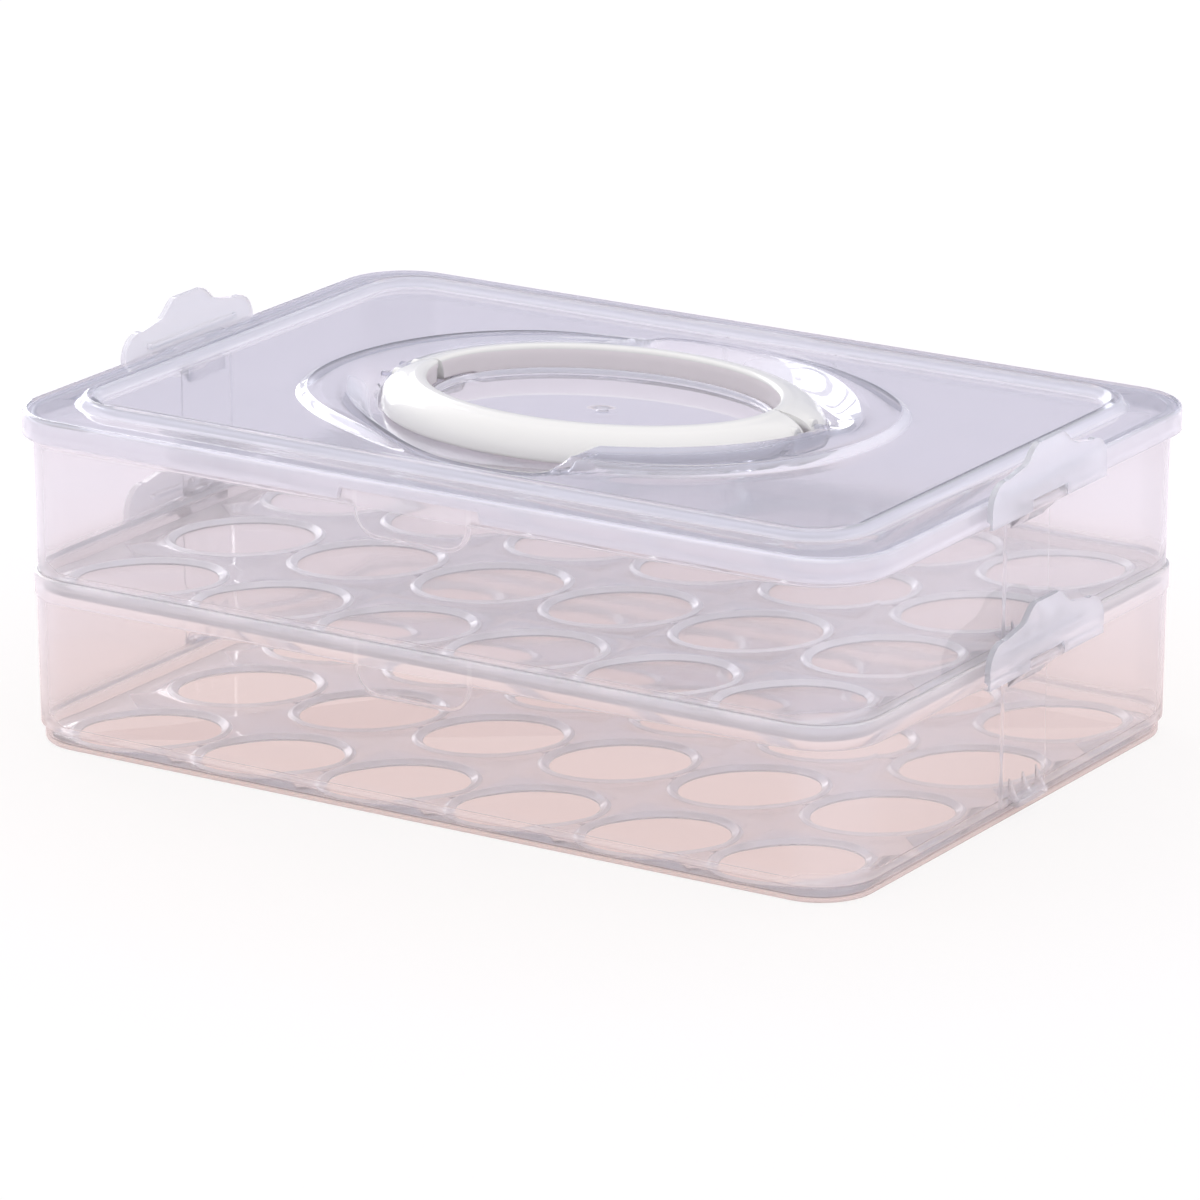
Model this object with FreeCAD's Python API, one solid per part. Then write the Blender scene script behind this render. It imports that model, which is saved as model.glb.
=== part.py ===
import FreeCAD, Part
import math
import os

# Deviled egg carrier: two stacked clear bins, each with an egg tray on its floor,
# a clip-on lid with a round-cornered ridge and a swirl of finger wells, a carrying
# handle made of two half rings that fold up, and four end latches.
# Millimetres. X runs along the long side, Y to the back, Z up.
# The origin is the middle of the lower bin's underside.

# Footprint and walls
foot_length = 330.4
foot_width = 231.6
foot_corner_radius = 20.5
foot_edge_radius = 1.6
wall = 1.7
floor_thickness = 1.4

# One tier
bin_height = 61.6
nest_depth = 6.3
nest_clearance = 0.45
seat_overlap = 1.05
rim_band_height = 8.0
rim_band_proud = 0.6

# Thumb pads on the long sides, and the raised strip on each end wall
pad_width = 45.0
pad_height = 18.0
pad_corner_radius = 9.0
strip_width = 30.0
strip_proud = 0.25

# Egg tray
eggs_along = 6
eggs_across = 4
egg_pitch_along = 52.0
egg_pitch_across = 58.7
egg_length = 52.0
egg_width = 41.5
egg_turn = 47.0
tray_sheet = 1.2
tray_clearance = 0.6
bead_width = 1.6
bead_height = 0.9

# Lid
lid_side_clearance = 0.3
lid_end_clearance = 1.8
lid_skirt = 1.65
lid_skirt_drop = 6.3
lid_flange = 2.2
lid_edge_radius = 1.8
lid_notch_length = 56.0
lid_notch_height = 4.0
ridge_inset = 18.5
ridge_half_width = 4.5
ridge_top_half_width = 1.4
ridge_height = 3.6
ridge_knee_share = 0.75
ridge_corner_radius = 19.0
panel_rise = 2.5
panel_sheet = 1.8
panel_hollow_margin = 2.0

# Handle ring, measured on its inner oval
ring_inner_length = 129.6
ring_inner_width = 91.6
ring_width = 16.2
ring_height = 7.7
ring_lip = 1.1
ring_turn = 3.0
ring_play = 0.7
ring_seat_rise = 1.6
ring_seat_clearance = 0.1
ring_profile = ((1.0, 0.0), (0.97, 0.16), (0.78, 0.52), (0.52, 0.84), (0.32, 1.0))
cup_inset = 2.2
cup_drop = 1.5
gate_radius = 2.0
gate_height = 0.3

# Handle hinge
pivot_rise = 1.6
pivot_pin_radius = 1.3
pivot_clearance = 0.1
pivot_end_gap = 0.3
pivot_end_wall = 1.2
pivot_root = 4.0
knuckle_wall = 1.6
split_gap = 0.4
nose_round = 0.6
nose_clearance = 0.3
pocket_play = 0.5

# Swirl round the ring: a raised arm and a finger well, each twice
swirl_length = 218.0
swirl_width = 160.0
arm_rise = 2.6
arm_crest_inset_end = 12.0
arm_crest_inset_side = 15.5
arm_end_x = 28.0
arm_start_y = 14.0
well_depth = 5.4
well_slope_end = 19.0
well_slope_side = 5.0
well_under_ring = 8.0
well_ramp_start = 12.0
well_ramp_end = 46.0
shell = 1.8

# Latches
latch_pin_drop = 4.3
latch_pin_reach = 8.4
latch_pin_radius = 1.4
latch_pin_clearance = 0.1
latch_knuckle_radius = 2.4
latch_knuckle_length = 4.0
latch_block_width = 22.8
latch_block_gusset = 6.6
latch_side_gap = 0.4
latch_plate = 2.2
latch_half_width = 39.0
latch_foot = 1.2
latch_side_rise = 5.2
latch_shoulder_y = 28.5
latch_shoulder_rise = 13.6
latch_neck_y = 18.5
latch_neck_rise = 15.4
latch_lobe_y = 6.5
latch_top_rise = 21.5
latch_shoulder_bend = (0.78, 0.66)
latch_neck_bend = (0.62, 0.32)
latch_lobe_bend = (0.38, 0.75)
latch_hook_height = 1.8
latch_hook_half_width = 26.0
latch_hook_gap = 0.35
skirt_cut_margin = 1.2

# Catch for the latch below, at the foot of each end wall
catch_half_width = 10.0
catch_teeth = 3
catch_tooth_width = 1.6
catch_tooth_height = 7.5

# Sizes that follow
half_x = foot_length / 2
half_y = foot_width / 2
rim_inner = nest_clearance
rim_outer = rim_inner + wall
band_outer = rim_outer + rim_band_proud
shoulder_outer = rim_inner + seat_overlap
tier_pitch = bin_height - nest_depth
lid_z = tier_pitch + bin_height
lid_top = lid_z + lid_flange
panel_top = lid_z + panel_rise
skirt_bottom = lid_z - lid_skirt_drop
skirt_half_x = half_x + band_outer + lid_end_clearance
skirt_half_y = half_y + band_outer + lid_side_clearance
lid_half_x = skirt_half_x + lid_skirt
lid_half_y = skirt_half_y + lid_skirt
lid_radius = foot_corner_radius + band_outer + lid_side_clearance + lid_skirt
ring_a = ring_inner_length / 2
ring_b = ring_inner_width / 2
seat_z = lid_z + ring_seat_rise
ring_bottom = seat_z + ring_seat_clearance
ring_top = ring_bottom + ring_height
pivot_z = ring_bottom + pivot_rise
pivot_height = ring_top - pivot_z
pivot_y = pivot_height + split_gap / 2
nose_radius = pivot_height * math.sqrt(2) - nose_round
knuckle_radius = pivot_pin_radius + pivot_clearance + knuckle_wall
arm_top = panel_top + arm_rise
well_floor = panel_top - well_depth
latch_pin_x = half_x + latch_pin_reach
latch_pin_z = bin_height - latch_pin_drop
catch_top = nest_depth + lid_flange
catch_x = lid_half_x


def box(x_low, x_high, y_low, y_high, z_low, z_high):
    corner = FreeCAD.Vector(x_low, y_low, z_low)
    return Part.makeBox(x_high - x_low, y_high - y_low, z_high - z_low, corner)


def rounded_wire(size_x, size_y, radius, z):
    edges = []
    inner_x = size_x - radius
    inner_y = size_y - radius
    corners = [
        (inner_x, inner_y, 0),
        (-inner_x, inner_y, 90),
        (-inner_x, -inner_y, 180),
        (inner_x, -inner_y, 270),
    ]
    for index, (centre_x, centre_y, start) in enumerate(corners):
        points = []
        for turn in (start, start + 45, start + 90):
            angle = math.radians(turn)
            point_x = centre_x + radius * math.cos(angle)
            point_y = centre_y + radius * math.sin(angle)
            points.append(FreeCAD.Vector(point_x, point_y, z))
        edges.append(Part.Arc(*points).toShape())
        next_x, next_y, next_start = corners[(index + 1) % 4]
        next_angle = math.radians(next_start)
        next_point = FreeCAD.Vector(
            next_x + radius * math.cos(next_angle), next_y + radius * math.sin(next_angle), z)
        edges.append(Part.LineSegment(points[2], next_point).toShape())
    return Part.Wire(edges)


def rounded_prism(size_x, size_y, radius, z_low, z_high):
    face = Part.Face(rounded_wire(size_x, size_y, radius, z_low))
    return face.extrude(FreeCAD.Vector(0, 0, z_high - z_low))


def foot_wire(offset, z):
    # The footprint grown by an offset, with corners that stay concentric
    return rounded_wire(half_x + offset, half_y + offset, foot_corner_radius + offset, z)


def foot_prism(offset, z_low, z_high):
    return rounded_prism(half_x + offset, half_y + offset, foot_corner_radius + offset, z_low, z_high)


def oval_wire(size_x, size_y, z):
    ellipse = Part.Ellipse(FreeCAD.Vector(0, 0, z), size_x, size_y)
    return Part.Wire([ellipse.toShape()])


def oval_prism(size_x, size_y, z_low, z_high):
    face = Part.Face(oval_wire(size_x, size_y, z_low))
    return face.extrude(FreeCAD.Vector(0, 0, z_high - z_low))


def loft(wires):
    return Part.makeLoft(wires, True, True)


def half_turned(shape):
    copy = shape.copy()
    copy.rotate(FreeCAD.Vector(0, 0, 0), FreeCAD.Vector(0, 0, 1), 180)
    return copy


def ring_turned(shape):
    copy = shape.copy()
    copy.rotate(FreeCAD.Vector(0, 0, 0), FreeCAD.Vector(0, 0, 1), ring_turn)
    return copy


def lifted(shape, height):
    copy = shape.copy()
    copy.translate(FreeCAD.Vector(0, 0, height))
    return copy


def cylinder_along_x(radius, x_low, x_high, y, z):
    start = FreeCAD.Vector(x_low, y, z)
    return Part.makeCylinder(radius, x_high - x_low, start, FreeCAD.Vector(1, 0, 0))


def cylinder_along_y(radius, y_low, y_high, x, z):
    start = FreeCAD.Vector(x, y_low, z)
    return Part.makeCylinder(radius, y_high - y_low, start, FreeCAD.Vector(0, 1, 0))


def thumb_pad():
    # A flat tongue under the rim, with two round lower corners, on the back long side
    half = pad_width / 2
    low = bin_height - pad_height
    knee = low + pad_corner_radius
    bend = pad_corner_radius * (1 - math.sqrt(0.5))
    y = half_y - wall
    points = [
        FreeCAD.Vector(half, y, bin_height),
        FreeCAD.Vector(half, y, knee),
        FreeCAD.Vector(half - bend, y, low + bend),
        FreeCAD.Vector(half - pad_corner_radius, y, low),
        FreeCAD.Vector(pad_corner_radius - half, y, low),
        FreeCAD.Vector(bend - half, y, low + bend),
        FreeCAD.Vector(-half, y, knee),
        FreeCAD.Vector(-half, y, bin_height),
    ]
    outline = Part.Wire([
        Part.LineSegment(points[0], points[1]).toShape(),
        Part.Arc(points[1], points[2], points[3]).toShape(),
        Part.LineSegment(points[3], points[4]).toShape(),
        Part.Arc(points[4], points[5], points[6]).toShape(),
        Part.LineSegment(points[6], points[7]).toShape(),
        Part.LineSegment(points[7], points[0]).toShape(),
    ])
    return Part.Face(outline).extrude(FreeCAD.Vector(0, band_outer + wall, 0))


def latch_block():
    # Bracket on the right end wall: a rounded nose round the pin, a sloping gusset
    # below it, and the two pin stubs that the latch turns on
    half = latch_block_width / 2
    root_x = half_x
    nose = latch_knuckle_radius
    points = [
        FreeCAD.Vector(root_x, -half, latch_pin_z + nose),
        FreeCAD.Vector(latch_pin_x, -half, latch_pin_z + nose),
        FreeCAD.Vector(latch_pin_x + nose, -half, latch_pin_z),
        FreeCAD.Vector(latch_pin_x, -half, latch_pin_z - nose),
        FreeCAD.Vector(root_x, -half, latch_pin_z - nose - latch_block_gusset),
    ]
    outline = Part.Wire([
        Part.LineSegment(points[0], points[1]).toShape(),
        Part.Arc(points[1], points[2], points[3]).toShape(),
        Part.LineSegment(points[3], points[4]).toShape(),
        Part.LineSegment(points[4], points[0]).toShape(),
    ])
    block = Part.Face(outline).extrude(FreeCAD.Vector(0, latch_block_width, 0))
    reach = half + latch_side_gap + latch_knuckle_length
    pins = cylinder_along_y(latch_pin_radius, -reach, reach, latch_pin_x, latch_pin_z)
    return block.fuse(pins)


def latch_catch():
    # Ledge at the foot of the right end wall, braced by upright teeth
    ledge = box(half_x, catch_x, -catch_half_width, catch_half_width, nest_depth, catch_top)
    spacing = (2 * catch_half_width - catch_tooth_width) / (catch_teeth - 1)
    for index in range(catch_teeth):
        low_y = -catch_half_width + index * spacing
        outline = Part.makePolygon([
            FreeCAD.Vector(half_x, low_y, nest_depth),
            FreeCAD.Vector(catch_x, low_y, nest_depth),
            FreeCAD.Vector(catch_x, low_y, catch_top),
            FreeCAD.Vector(half_x, low_y, catch_top + catch_tooth_height),
            FreeCAD.Vector(half_x, low_y, nest_depth),
        ])
        tooth = Part.Face(outline).extrude(FreeCAD.Vector(0, catch_tooth_width, 0))
        ledge = ledge.fuse(tooth)
    return ledge


def end_strip():
    strip_x = half_x + rim_outer + strip_proud
    half = strip_width / 2
    return box(half_x, strip_x, -half, half, nest_depth, bin_height)


def make_bin():
    foot = foot_prism(0, 0, nest_depth)
    low_edges = [edge for edge in foot.Edges if edge.BoundBox.ZMax < foot_edge_radius / 2]
    foot = foot.makeFillet(foot_edge_radius, low_edges)
    body = loft([foot_wire(shoulder_outer, nest_depth), foot_wire(rim_outer, bin_height)])
    band = foot_prism(band_outer, bin_height - rim_band_height, bin_height)
    solid = foot.fuse([body, band])
    for feature in (thumb_pad(), latch_block(), latch_catch(), end_strip()):
        solid = solid.fuse([feature, half_turned(feature)])
    step_z = nest_depth + wall
    low_hollow = foot_prism(-wall, floor_thickness, step_z)
    high_hollow = loft([foot_wire(shoulder_outer - wall, step_z), foot_wire(rim_inner, bin_height)])
    return solid.cut([low_hollow, high_hollow]).removeSplitter()


def egg_centres():
    for column in range(eggs_along):
        for row in range(eggs_across):
            x = (column - (eggs_along - 1) / 2) * egg_pitch_along
            y = (row - (eggs_across - 1) / 2) * egg_pitch_across
            yield x, y


def egg_oval(margin, x, y, z_low, z_high):
    oval = oval_prism(egg_length / 2 + margin, egg_width / 2 + margin, z_low, z_high)
    oval.rotate(FreeCAD.Vector(0, 0, 0), FreeCAD.Vector(0, 0, 1), egg_turn)
    oval.translate(FreeCAD.Vector(x, y, 0))
    return oval


def make_tray():
    # A thin sheet on the bin's floor, with a raised bead round every egg hole
    sheet_top = floor_thickness + tray_sheet
    bead_top = sheet_top + bead_height
    sheet = foot_prism(-wall - tray_clearance, floor_thickness, sheet_top)
    beads = []
    holes = []
    for x, y in egg_centres():
        beads.append(egg_oval(bead_width, x, y, floor_thickness, bead_top))
        holes.append(egg_oval(0, x, y, floor_thickness, bead_top))
    return sheet.fuse(beads).cut(holes).removeSplitter()


def ridge_wire(inset, z):
    radius = ridge_corner_radius + ridge_inset - inset
    return rounded_wire(lid_half_x - inset, lid_half_y - inset, radius, z)


def ridge_band(low_half_width, top_half_width, z_low, z_knee, z_high):
    # A round-cornered loop with sloping sides and a softened top
    knee_half_width = (low_half_width + top_half_width) / 2
    outer = loft([
        ridge_wire(ridge_inset - low_half_width, z_low),
        ridge_wire(ridge_inset - knee_half_width, z_knee),
        ridge_wire(ridge_inset - top_half_width, z_high),
    ])
    inner = loft([
        ridge_wire(ridge_inset + low_half_width, z_low),
        ridge_wire(ridge_inset + knee_half_width, z_knee),
        ridge_wire(ridge_inset + top_half_width, z_high),
    ])
    return outer.cut(inner)


def ridge_prism(inset, z_low, z_high):
    face = Part.Face(ridge_wire(inset, z_low))
    return face.extrude(FreeCAD.Vector(0, 0, z_high - z_low))


def swirl_arm():
    # The front right arm: a hill round the ring, cut off square at its front end
    # and just past the pivot at its right end
    half_length = swirl_length / 2
    half_width = swirl_width / 2
    crest_x = half_length - arm_crest_inset_end
    crest_y = half_width - arm_crest_inset_side
    root_z = lid_z + panel_rise - panel_sheet
    hill = loft([
        oval_wire(half_length, half_width, root_z),
        oval_wire(half_length, half_width, panel_top),
        oval_wire(crest_x, crest_y, arm_top),
    ])
    sector = box(arm_end_x, half_length, -half_width, arm_start_y, root_z, arm_top)
    return hill.common(sector)


def well_sector(z_low, z_high, margin):
    # The front left quarter of the swirl, up to the arm's square end
    low_x = -swirl_length / 2 - margin
    low_y = -swirl_width / 2 - margin
    return box(low_x, arm_end_x + margin, low_y, margin - arm_start_y, z_low, z_high)


def well_bowl(margin, floor_z, top_z):
    half_length = swirl_length / 2 + margin
    half_width = swirl_width / 2 + margin
    bowl = loft([
        oval_wire(half_length - well_slope_end, half_width - well_slope_side, floor_z),
        oval_wire(half_length, half_width, top_z),
    ])
    inner_a = ring_a + ring_width - well_under_ring - margin
    inner_b = ring_b + ring_width - well_under_ring - margin
    return bowl.cut(oval_prism(inner_a, inner_b, floor_z, top_z))


def well_space():
    # The finger well itself: its floor climbs to the left along the ring
    bowl = well_bowl(0, well_floor, arm_top).common(well_sector(well_floor, arm_top, 0))
    low_x = -swirl_length / 2
    ramp = Part.Face(Part.makePolygon([
        FreeCAD.Vector(low_x, 0, well_floor),
        FreeCAD.Vector(low_x + well_ramp_end, 0, well_floor),
        FreeCAD.Vector(low_x + well_ramp_start, 0, panel_top),
        FreeCAD.Vector(low_x, 0, panel_top),
        FreeCAD.Vector(low_x, 0, well_floor),
    ])).extrude(FreeCAD.Vector(0, -swirl_width, 0))
    return bowl.cut(ramp)


def well_shell():
    low = well_floor - shell
    top = panel_top - panel_sheet
    return well_bowl(shell, low, top).common(well_sector(low, top, shell))


def pivot_pocket(margin, z_low, z_high):
    # Room under the ring's right end for the turning noses
    reach = pivot_y + max(pivot_rise, knuckle_radius) + pocket_play + margin
    low_x = ring_a - pocket_play - margin
    high_x = ring_a + ring_width + ring_play + margin
    return box(low_x, high_x, -reach, reach, z_low, z_high)


def pivot_pins():
    # The right end's two pins, one for each half ring, rooted in the raised arm
    start = ring_a + pivot_end_wall + pivot_end_gap
    end = ring_a + ring_width + ring_play + pivot_root
    return [cylinder_along_x(pivot_pin_radius, start, end, y, pivot_z) for y in (-pivot_y, pivot_y)]


def make_lid():
    slab = rounded_prism(lid_half_x, lid_half_y, lid_radius, skirt_bottom, lid_top)
    top_edges = [edge for edge in slab.Edges if edge.BoundBox.ZMin > lid_top - lid_edge_radius / 2]
    slab = slab.makeFillet(lid_edge_radius, top_edges)
    ridge_top = lid_top + ridge_height
    ridge_knee = lid_top + ridge_knee_share * ridge_height
    ridge = ridge_band(ridge_half_width, ridge_top_half_width, lid_z, ridge_knee, ridge_top)
    panel = ridge_prism(ridge_inset, lid_z, panel_top)
    solid = slab.fuse([ridge, panel])

    hollow_radius = lid_radius - lid_skirt
    skirt_hollow = rounded_prism(skirt_half_x, skirt_half_y, hollow_radius, skirt_bottom, lid_z)
    groove_half = ridge_half_width - shell
    groove_top_half = ridge_top_half_width / 2
    groove_top = ridge_top - shell
    groove_knee = lid_z + ridge_knee_share * (groove_top - lid_z)
    groove = ridge_band(groove_half, groove_top_half, lid_z, groove_knee, groove_top)
    under_panel = ridge_prism(
        ridge_inset + ridge_half_width + panel_hollow_margin, lid_z, panel_top - panel_sheet)
    solid = solid.cut([skirt_hollow, groove, under_panel])

    # Long-side thumb notches and the end cut-outs for the latch hinges
    notch_half = lid_notch_length / 2
    notch_top = skirt_bottom + lid_notch_height
    notches = box(-notch_half, notch_half, -lid_half_y, lid_half_y, skirt_bottom, notch_top)
    hinge_half = latch_block_width / 2 + latch_side_gap + latch_knuckle_length + skirt_cut_margin
    hinge_cuts = box(-lid_half_x, lid_half_x, -hinge_half, hinge_half, skirt_bottom, lid_z)
    solid = solid.cut([notches, hinge_cuts])

    # Swirl, ring seat and cup, shaped in the ring's own turned frame
    play_a = ring_a + ring_width + ring_play
    play_b = ring_b + ring_width + ring_play
    cup_a = ring_a - cup_inset
    cup_b = ring_b - cup_inset
    cup_floor = seat_z - cup_drop
    pocket_floor = pivot_z - pivot_height - pocket_play
    sheet_low = panel_top - panel_sheet
    added = [
        oval_prism(play_a + shell, play_b + shell, seat_z - shell, panel_top),
        oval_prism(cup_a + shell, cup_b + shell, cup_floor - shell, panel_top),
    ]
    removed = [
        oval_prism(play_a, play_b, seat_z, arm_top),
        oval_prism(cup_a, cup_b, cup_floor, arm_top),
    ]
    gate = Part.makeCylinder(gate_radius, gate_height, FreeCAD.Vector(0, 0, cup_floor))
    kept = [gate]
    for pin in pivot_pins():
        kept.append(ring_turned(pin))
        kept.append(ring_turned(half_turned(pin)))
    pocket_shell = pivot_pocket(shell, pocket_floor - shell, sheet_low)
    pocket_space = pivot_pocket(0, pocket_floor, seat_z)
    for piece, group in (
            (swirl_arm(), added),
            (well_shell(), added),
            (pocket_shell, added),
            (well_space(), removed),
            (pocket_space, removed)):
        group.append(piece)
        group.append(half_turned(piece))
    solid = solid.fuse([ring_turned(piece) for piece in added])
    solid = solid.cut([ring_turned(piece) for piece in removed])
    return solid.fuse(kept)


def handle_ring():
    # The whole ring: a broad outer face that falls from a narrow top to the seat.
    # The profile gives shares of the ring's width outwards and of its height upwards.
    wires = []
    for out_share, up_share in ring_profile:
        out = out_share * ring_width
        wires.append(oval_wire(ring_a + out, ring_b + out, ring_bottom + up_share * ring_height))
    outer = loft(wires)
    hole = oval_prism(ring_a, ring_b, ring_bottom, ring_top)
    lip_cut = loft([
        oval_wire(ring_a, ring_b, ring_top - ring_lip),
        oval_wire(ring_a + ring_lip, ring_b + ring_lip, ring_top),
    ])
    return outer.cut([hole, lip_cut])


def make_front_half():
    # The front half ring turns up about its own line, as far in front of the split
    # as the ring stands above that line, so the two tops meet when both are up.
    # Past the line each end is a round nose, hollowed to let the other nose by.
    outer_a = ring_a + ring_width
    body = box(-outer_a, outer_a, -outer_a, -pivot_y, ring_bottom, ring_top)
    nose = cylinder_along_x(nose_radius, -outer_a, outer_a, -pivot_y, pivot_z)
    other_sweep = cylinder_along_x(nose_radius + nose_clearance, -outer_a, outer_a, pivot_y, pivot_z)
    behind = box(-outer_a, outer_a, -split_gap / 2, outer_a, ring_bottom, ring_top)
    half = handle_ring().common(body.fuse(nose)).cut([other_sweep, behind])
    barrel_low = pivot_z - knuckle_radius
    outline = oval_prism(outer_a, ring_b + ring_width, barrel_low, pivot_z)
    bore_radius = pivot_pin_radius + pivot_clearance
    bores = []
    for start, end, bore_start, bore_end in (
            (ring_a, outer_a, ring_a + pivot_end_wall, outer_a),
            (-outer_a, -ring_a, -outer_a, -ring_a - pivot_end_wall)):
        barrel = cylinder_along_x(knuckle_radius, start, end, -pivot_y, pivot_z)
        lower = box(start, end, -pivot_y - knuckle_radius, -split_gap / 2, barrel_low, pivot_z)
        half = half.fuse(barrel.common(lower).common(outline))
        bores.append(cylinder_along_x(bore_radius, bore_start, bore_end, -pivot_y, pivot_z))
    return half.cut(bores)


def between(inner, outer, bend):
    # A bend point: a share of the way out from the inner point, and up from the outer one
    out_share, up_share = bend
    point_y = inner[0] + out_share * (outer[0] - inner[0])
    point_z = outer[1] + up_share * (inner[1] - outer[1])
    return point_y, point_z


def make_latch():
    # The right-hand latch, standing shut, in the frame of the bin that carries it
    y = latch_half_width
    low = latch_pin_z - latch_foot
    plate_x = latch_pin_x + latch_knuckle_radius - latch_plate
    shoulder_z = latch_pin_z + latch_shoulder_rise
    neck_z = latch_pin_z + latch_neck_rise
    side_z = latch_pin_z + latch_side_rise
    top_z = latch_pin_z + latch_top_rise
    side = (y, side_z)
    shoulder = (latch_shoulder_y, shoulder_z)
    neck = (latch_neck_y, neck_z)
    lobe = (latch_lobe_y, top_z)
    right_points = [
        (y, low),
        side,
        between(shoulder, side, latch_shoulder_bend),
        shoulder,
        neck,
        between(lobe, neck, latch_neck_bend),
        between(lobe, neck, latch_lobe_bend),
        lobe,
    ]
    right = [FreeCAD.Vector(plate_x, point_y, point_z) for point_y, point_z in right_points]
    left = [FreeCAD.Vector(plate_x, -point_y, point_z) for point_y, point_z in right_points]
    edges = []
    for run in (right, left):
        edges.append(Part.LineSegment(run[0], run[1]).toShape())
        edges.append(Part.Arc(run[1], run[2], run[3]).toShape())
        edges.append(Part.LineSegment(run[3], run[4]).toShape())
        curve = Part.BSplineCurve()
        curve.interpolate([run[4], run[5], run[6], run[7]])
        edges.append(curve.toShape())
    edges.append(Part.LineSegment(right[7], left[7]).toShape())
    edges.append(Part.LineSegment(right[0], left[0]).toShape())
    outline = Part.Wire(Part.__sortEdges__(edges))
    plate = Part.Face(outline).extrude(FreeCAD.Vector(latch_plate, 0, 0))

    # Room for the bracket, then the two knuckles and the inner hook rib
    notch_half = latch_block_width / 2 + latch_side_gap
    notch_top = latch_pin_z + latch_knuckle_radius + latch_side_gap
    plate_end = plate_x + latch_plate
    notch = box(plate_x, plate_end, -notch_half, notch_half, low, notch_top)
    knuckle_end = notch_half + latch_knuckle_length
    knuckles = cylinder_along_y(latch_knuckle_radius, -knuckle_end, knuckle_end, latch_pin_x, latch_pin_z)
    gap_low = latch_pin_z - latch_knuckle_radius
    gap = box(latch_pin_x - latch_knuckle_radius, plate_end, -notch_half, notch_half, gap_low, notch_top)
    bore_radius = latch_pin_radius + latch_pin_clearance
    bore = cylinder_along_y(bore_radius, -latch_half_width, latch_half_width, latch_pin_x, latch_pin_z)
    hook_low = catch_top + tier_pitch + latch_hook_gap
    hook_x = lid_half_x + latch_hook_gap
    hook = box(hook_x, plate_x, -latch_hook_half_width, latch_hook_half_width,
               hook_low, hook_low + latch_hook_height)
    knuckles = knuckles.cut(gap)
    return plate.cut(notch).fuse([knuckles, hook]).cut(bore).removeSplitter()


def save(name, shape):
    shape.exportStep("parts/" + name + ".step")


os.makedirs("parts", exist_ok=True)

bin_shape = make_bin()
tray_shape = make_tray()
latch_shape = make_latch()
front_half = make_front_half()

for tier, height in (("lower", 0), ("upper", tier_pitch)):
    save(tier + "_bin", lifted(bin_shape, height))
    save(tier + "_egg_tray", lifted(tray_shape, height))
    save(tier + "_right_latch", lifted(latch_shape, height))
    save(tier + "_left_latch", lifted(half_turned(latch_shape), height))

save("lid", make_lid())
save("front_handle_half", ring_turned(front_half))
save("back_handle_half", ring_turned(half_turned(front_half)))
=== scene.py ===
import math
import bmesh
import bpy
import numpy as np
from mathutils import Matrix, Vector


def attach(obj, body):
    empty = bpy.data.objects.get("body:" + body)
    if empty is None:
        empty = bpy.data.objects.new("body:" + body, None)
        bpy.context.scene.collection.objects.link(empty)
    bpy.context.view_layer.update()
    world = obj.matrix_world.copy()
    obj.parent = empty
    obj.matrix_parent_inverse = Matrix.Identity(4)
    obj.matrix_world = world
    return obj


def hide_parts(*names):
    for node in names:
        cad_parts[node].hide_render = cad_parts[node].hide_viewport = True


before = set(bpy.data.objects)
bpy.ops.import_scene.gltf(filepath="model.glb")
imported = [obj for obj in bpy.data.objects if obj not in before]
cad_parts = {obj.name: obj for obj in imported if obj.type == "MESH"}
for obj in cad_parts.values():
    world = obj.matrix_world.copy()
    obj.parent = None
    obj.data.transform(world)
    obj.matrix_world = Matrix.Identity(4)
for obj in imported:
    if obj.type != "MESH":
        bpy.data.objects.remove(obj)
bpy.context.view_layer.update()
print("frame loaded:", len(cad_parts), "CAD nodes")

viewSetup = {
    "azimuth": 32.35,          # degrees round the object, from the front to the right
    "lookDown": 17.157,        # degrees below the horizon
    "place": (1.2965, -2.0485, 0.7970),
    "lens": 219.56,
}

def makeCamera(s):
    data = bpy.data.cameras.new("photoCamera")
    data.lens = s["lens"]
    data.sensor_width = 36.0
    data.clip_start = 0.05
    data.clip_end = 20.0
    camera = bpy.data.objects.new("photoCamera", data)
    camera.location = s["place"]
    camera.rotation_euler = (math.radians(90 - s["lookDown"]), 0.0, math.radians(s["azimuth"]))
    bpy.context.scene.collection.objects.link(camera)
    bpy.context.scene.camera = camera

makeCamera(viewSetup)
bpy.context.scene.view_settings.view_transform = "Standard"
print("camera placed")

def ease(t):
    # runs smoothly from 0 to 1 while t goes from 0 to 1
    t = np.clip(t, 0.0, 1.0)
    return t * t * (3.0 - 2.0 * t)

def softCurve(at, knots, values, blur):
    # straight runs between knots, averaged over a span so that no corner is left
    total = 0.0
    steps = np.linspace(-blur, blur, 9)
    for step in steps:
        total = total + np.interp(at + step, knots, values)
    return total / len(steps)

def reachRounded(angle, halfX, halfY, radius):
    # how far a ray from the middle runs to a rounded rectangle: to a side, or to a corner's arc
    c = np.maximum(np.abs(np.cos(angle)), 1e-9)
    s = np.maximum(np.abs(np.sin(angle)), 1e-9)
    reach = np.minimum(halfX / c, halfY / s)
    innerX = halfX - radius
    innerY = halfY - radius
    along = c * innerX + s * innerY
    arc = along + np.sqrt(np.maximum(along * along - innerX**2 - innerY**2 + radius**2, 0.0))
    return np.where((reach * c > innerX) & (reach * s > innerY), arc, reach)

def reachOval(angle, halfX, halfY, turn=0.0):
    # how far a ray from the middle runs to an oval turned by some degrees
    a = angle - math.radians(turn)
    return 1.0 / np.sqrt((np.cos(a) / halfX)**2 + (np.sin(a) / halfY)**2)

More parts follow.
